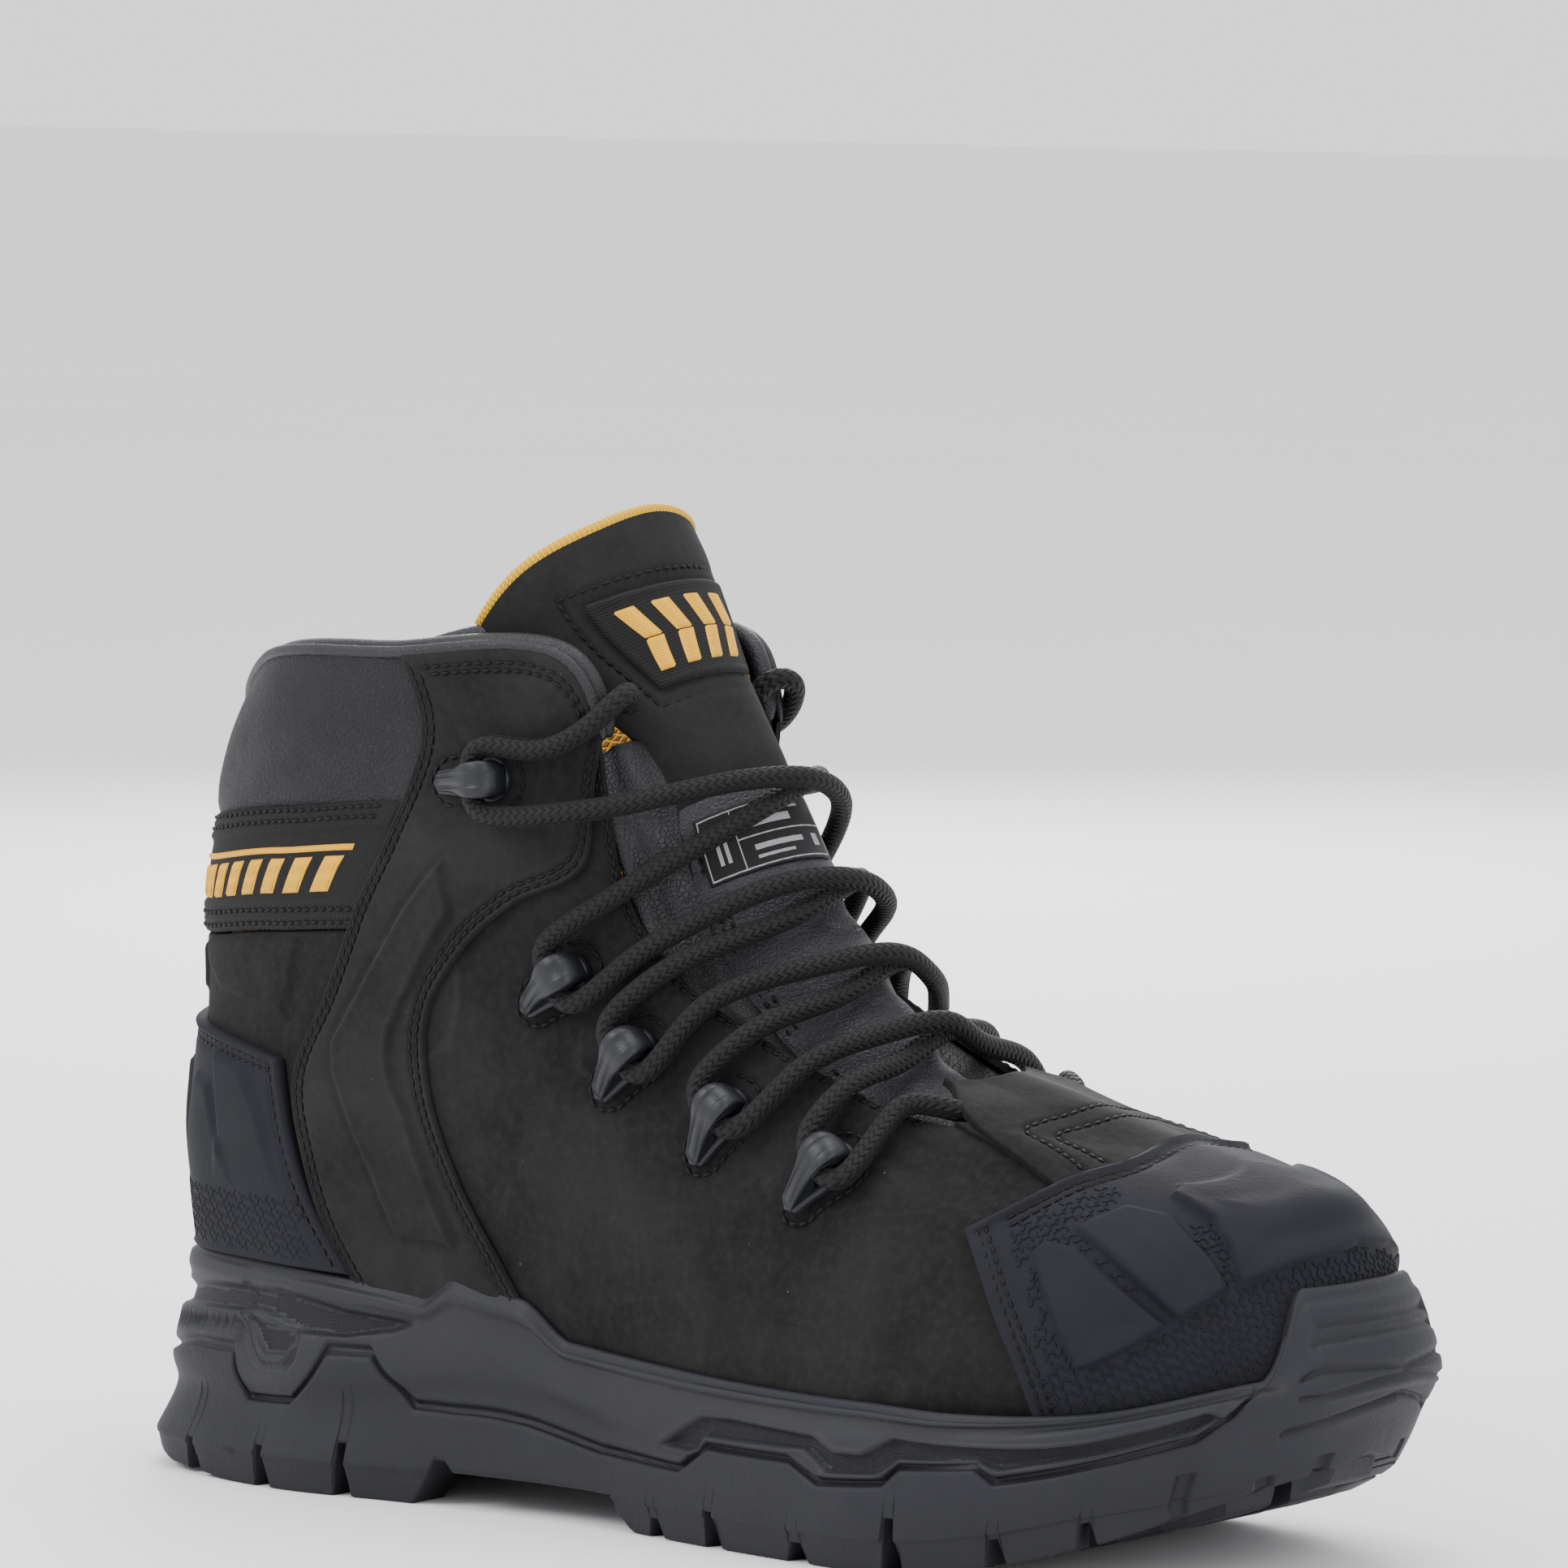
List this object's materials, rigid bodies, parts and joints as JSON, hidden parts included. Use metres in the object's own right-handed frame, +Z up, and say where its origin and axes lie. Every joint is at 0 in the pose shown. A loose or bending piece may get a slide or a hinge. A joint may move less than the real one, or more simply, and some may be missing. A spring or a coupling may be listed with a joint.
{
  "type": "steel toe work boot",
  "caption": "Right-foot lace-up safety work boot with a protective steel toe cap, moulded toe and heel guards, padded collar and a lugged tread.",
  "frame": {"origin": "middle of the bounding box at ground level, where the tread stands", "axes": "+X towards the toe, +Y towards the inner side of the foot, +Z up"},
  "size_m": [0.3171, 0.1102, 0.211],
  "materials": {
    "tread_rubber": "matt black moulded rubber",
    "midsole_foam": "matt charcoal moulded polyurethane with a fine grain",
    "shank_steel": "moulded stiff nylon",
    "plate_fabric": "woven puncture-resistant cloth",
    "board": "stiff fibre board",
    "footbed_cloth": "knitted cloth over foam",
    "nubuck": "black nubuck with a short dull nap",
    "saddle_leather": "matt embossed black leather",
    "woven_band": "tight black weave",
    "collar_leather": "smooth soft black leather with a low sheen",
    "piping_leather": "smooth black leather with a satin sheen",
    "foam": "open-cell padding",
    "guard_rubber": "moulded matt rubber with a fine relief",
    "stiffener_sheet": "thermoformed sheet",
    "cap_steel": "steel with a grey protective coat",
    "cap_trim": "soft rubber strip",
    "lining_mesh": "amber yellow spacer mesh",
    "badge_cloth": "black woven patch with a yellow mark",
    "label_cloth": "woven label with a plain grey border",
    "gusset_cloth": "thin folded leather",
    "hook_plastic": "dark grey moulded nylon",
    "rivet_metal": "black coated steel",
    "lace_cord": "round black braid"
  },
  "bodies": {
    "boot": {"outsole": "tread_rubber", "midsole": "midsole_foam", "shank": "shank_steel", "puncture_plate": "plate_fabric", "insole_board": "board", "vamp": "nubuck", "quarter_outer": "nubuck", "quarter_inner": "nubuck", "saddle_outer": "saddle_leather", "saddle_inner": "saddle_leather", "back_panel": "nubuck", "heel_band": "woven_band", "collar_pad": "collar_leather", "collar_foam": "foam", "collar_piping": "piping_leather", "heel_guard": "guard_rubber", "heel_stiffener": "stiffener_sheet", "toe_guard": "guard_rubber", "steel_toe_cap": "cap_steel", "cap_edge_pad": "cap_trim", "ankle_foam_outer": "foam", "ankle_foam_inner": "foam", "boot_lining": "lining_mesh", "throat_tab": "nubuck", "gusset_outer": "gusset_cloth", "gusset_inner": "gusset_cloth", "lace_hooks": "hook_plastic", "collar_hooks": "hook_plastic", "rivet_washers": "rivet_metal", "lace": "lace_cord"},
    "tongue": {"tongue_leather": "nubuck", "tongue_pad": "collar_leather", "tongue_foam": "foam", "tongue_lining": "lining_mesh", "tongue_badge": "badge_cloth", "tongue_label": "label_cloth"},
    "footbed": {"footbed": "footbed_cloth"}
  },
  "joints": [
    {"name": "tongue_hinge", "type": "hinge", "parent": "boot", "child": "tongue", "pos_m": [0.0707, 0.00045, 0.08], "axis": [0, -1, 0], "range_deg": [0, 10]},
    {"name": "footbed_lift", "type": "hinge", "parent": "boot", "child": "footbed", "pos_m": [0.1387, 0.00045, 0.033], "axis": [0, 1, 0], "range_deg": [0, 8]}
  ]
}
